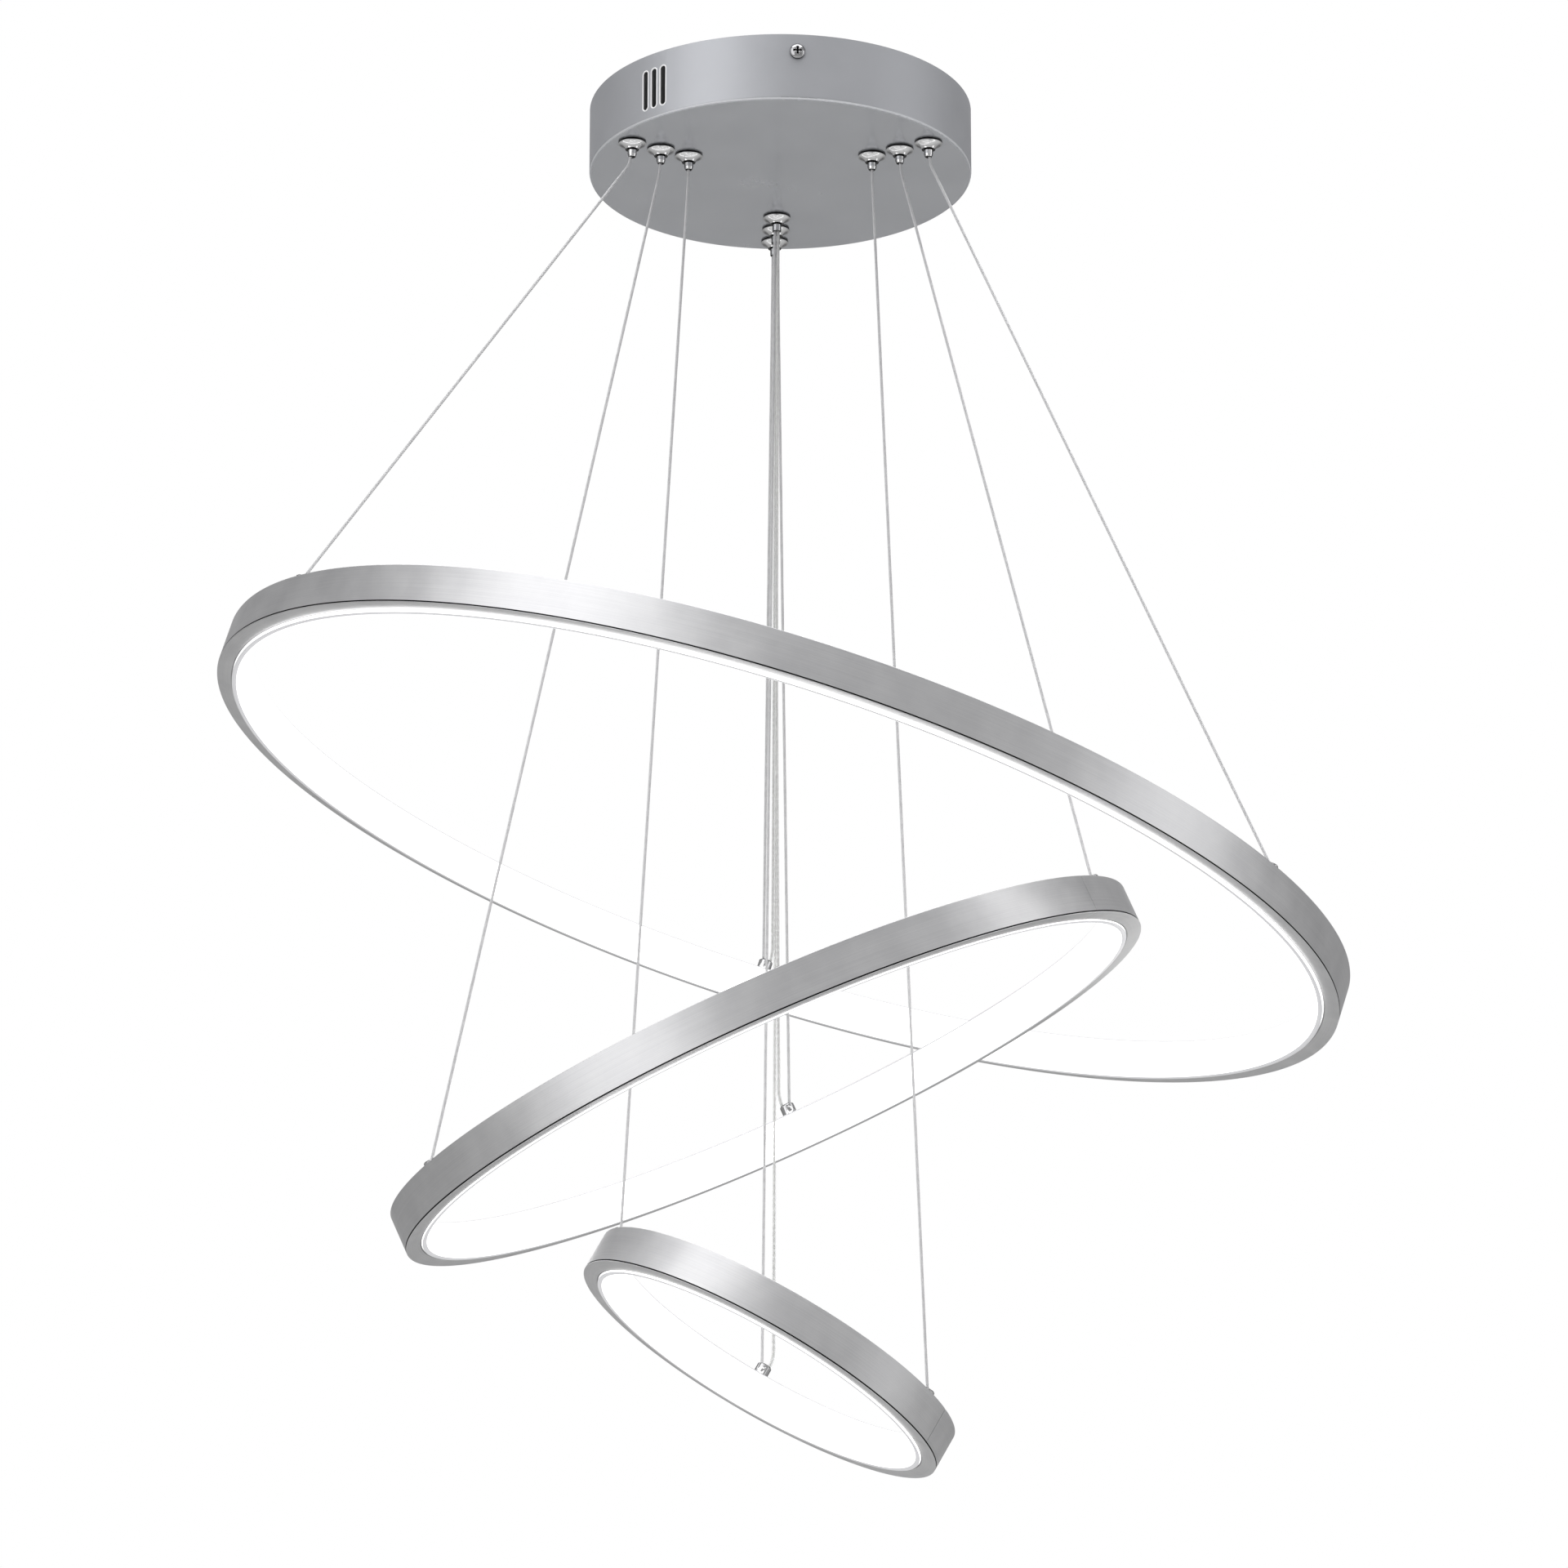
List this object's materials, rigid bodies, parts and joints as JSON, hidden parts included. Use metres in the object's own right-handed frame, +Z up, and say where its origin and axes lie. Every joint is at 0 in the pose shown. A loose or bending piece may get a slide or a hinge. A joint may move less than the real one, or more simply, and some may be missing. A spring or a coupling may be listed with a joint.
{
  "type": "led ring chandelier",
  "caption": "Pendant light of tilted LED rings hung on steel wires from a round ceiling canopy; each ring's height adjusts at spring grippers",
  "frame": {"origin": "centre of the canopy's open top, on the ceiling plane", "axes": "+Z up to the ceiling, +X to the right and -Y towards the viewer in the picture; the rings hang down -Z"},
  "size_m": [0.5782, 0.6002, 0.7264],
  "materials": {
    "satin_silver": "brushed satin nickel on the canopy and the rings",
    "chrome": "polished",
    "zinc_steel": "zinc plated",
    "ring_aluminium": "brushed satin",
    "opal": "opal, lit from behind",
    "steel_wire": "stranded stainless steel",
    "clear_lead": "clear jacket over tinned conductors",
    "white_plastic": "moulded",
    "foam": "foam pad",
    "board_green": "solder mask",
    "strip_white": "white flexible circuit",
    "chip_amber": "phosphor",
    "sleeve_red": "insulated lead",
    "sleeve_brown": "insulated lead",
    "brass": "nickel-free brass screws"
  },
  "bodies": {
    "canopy": {"canopy_shell": "satin_silver", "ceiling_bracket": "zinc_steel", "canopy_side_screws": "chrome", "earth_screw": "zinc_steel", "gripper_nuts": "zinc_steel", "driver_pad": "foam", "driver_case": "white_plastic", "driver_lid": "white_plastic", "driver_board": "board_green", "driver_output_leads": "sleeve_red", "driver_input_leads": "sleeve_brown", "terminal_block": "white_plastic", "terminal_screws": "brass", "large_ring_grippers": "chrome", "middle_ring_grippers": "chrome", "small_ring_grippers": "chrome", "large_left_wire": "steel_wire", "large_right_wire": "steel_wire", "large_far_wire": "steel_wire", "middle_left_wire": "steel_wire", "middle_right_wire": "steel_wire", "middle_far_wire": "steel_wire", "small_left_wire": "steel_wire", "small_right_wire": "steel_wire", "small_far_wire": "steel_wire", "large_power_lead": "clear_lead", "middle_power_lead": "clear_lead", "small_power_lead": "clear_lead"},
    "large_left_plunger": {"large_left_plunger": "chrome"},
    "large_right_plunger": {"large_right_plunger": "chrome"},
    "large_far_plunger": {"large_far_plunger": "chrome"},
    "middle_left_plunger": {"middle_left_plunger": "chrome"},
    "middle_right_plunger": {"middle_right_plunger": "chrome"},
    "middle_far_plunger": {"middle_far_plunger": "chrome"},
    "small_left_plunger": {"small_left_plunger": "chrome"},
    "small_right_plunger": {"small_right_plunger": "chrome"},
    "small_far_plunger": {"small_far_plunger": "chrome"},
    "large_ring": {"large_ring_profile": "ring_aluminium", "large_ring_diffuser": "opal", "large_ring_led_strip": "strip_white", "large_ring_led_chips": "chip_amber", "large_ring_splice_plate": "zinc_steel", "large_ring_anchors": "chrome", "large_ring_anchor_nuts": "zinc_steel"},
    "middle_ring": {"middle_ring_profile": "ring_aluminium", "middle_ring_diffuser": "opal", "middle_ring_led_strip": "strip_white", "middle_ring_led_chips": "chip_amber", "middle_ring_splice_plate": "zinc_steel", "middle_ring_anchors": "chrome", "middle_ring_anchor_nuts": "zinc_steel"},
    "small_ring": {"small_ring_profile": "ring_aluminium", "small_ring_diffuser": "opal", "small_ring_led_strip": "strip_white", "small_ring_led_chips": "chip_amber", "small_ring_splice_plate": "zinc_steel", "small_ring_anchors": "chrome", "small_ring_anchor_nuts": "zinc_steel"}
  },
  "joints": [
    {"name": "large_ring_lift", "type": "slide", "parent": "canopy", "child": "large_ring", "axis": [0, 0, 1], "range_m": [0, 0.15], "deforming": ["large_left_wire", "large_right_wire", "large_far_wire", "large_power_lead"]},
    {"name": "middle_ring_lift", "type": "slide", "parent": "canopy", "child": "middle_ring", "axis": [0, 0, 1], "range_m": [0, 0.12], "deforming": ["middle_left_wire", "middle_right_wire", "middle_far_wire", "middle_power_lead"]},
    {"name": "small_ring_lift", "type": "slide", "parent": "canopy", "child": "small_ring", "axis": [0, 0, 1], "range_m": [0, 0.12], "deforming": ["small_left_wire", "small_right_wire", "small_far_wire", "small_power_lead"]},
    {"name": "large_left_plunger_press", "type": "slide", "parent": "canopy", "child": "large_left_plunger", "axis": [0, 0, 1], "range_m": [0, 0.002], "stiffness_N_per_m": 300},
    {"name": "large_right_plunger_press", "type": "slide", "parent": "canopy", "child": "large_right_plunger", "axis": [0, 0, 1], "range_m": [0, 0.002], "stiffness_N_per_m": 300},
    {"name": "large_far_plunger_press", "type": "slide", "parent": "canopy", "child": "large_far_plunger", "axis": [0, 0, 1], "range_m": [0, 0.002], "stiffness_N_per_m": 300},
    {"name": "middle_left_plunger_press", "type": "slide", "parent": "canopy", "child": "middle_left_plunger", "axis": [0, 0, 1], "range_m": [0, 0.002], "stiffness_N_per_m": 300},
    {"name": "middle_right_plunger_press", "type": "slide", "parent": "canopy", "child": "middle_right_plunger", "axis": [0, 0, 1], "range_m": [0, 0.002], "stiffness_N_per_m": 300},
    {"name": "middle_far_plunger_press", "type": "slide", "parent": "canopy", "child": "middle_far_plunger", "axis": [0, 0, 1], "range_m": [0, 0.002], "stiffness_N_per_m": 300},
    {"name": "small_left_plunger_press", "type": "slide", "parent": "canopy", "child": "small_left_plunger", "axis": [0, 0, 1], "range_m": [0, 0.002], "stiffness_N_per_m": 300},
    {"name": "small_right_plunger_press", "type": "slide", "parent": "canopy", "child": "small_right_plunger", "axis": [0, 0, 1], "range_m": [0, 0.002], "stiffness_N_per_m": 300},
    {"name": "small_far_plunger_press", "type": "slide", "parent": "canopy", "child": "small_far_plunger", "axis": [0, 0, 1], "range_m": [0, 0.002], "stiffness_N_per_m": 300}
  ]
}
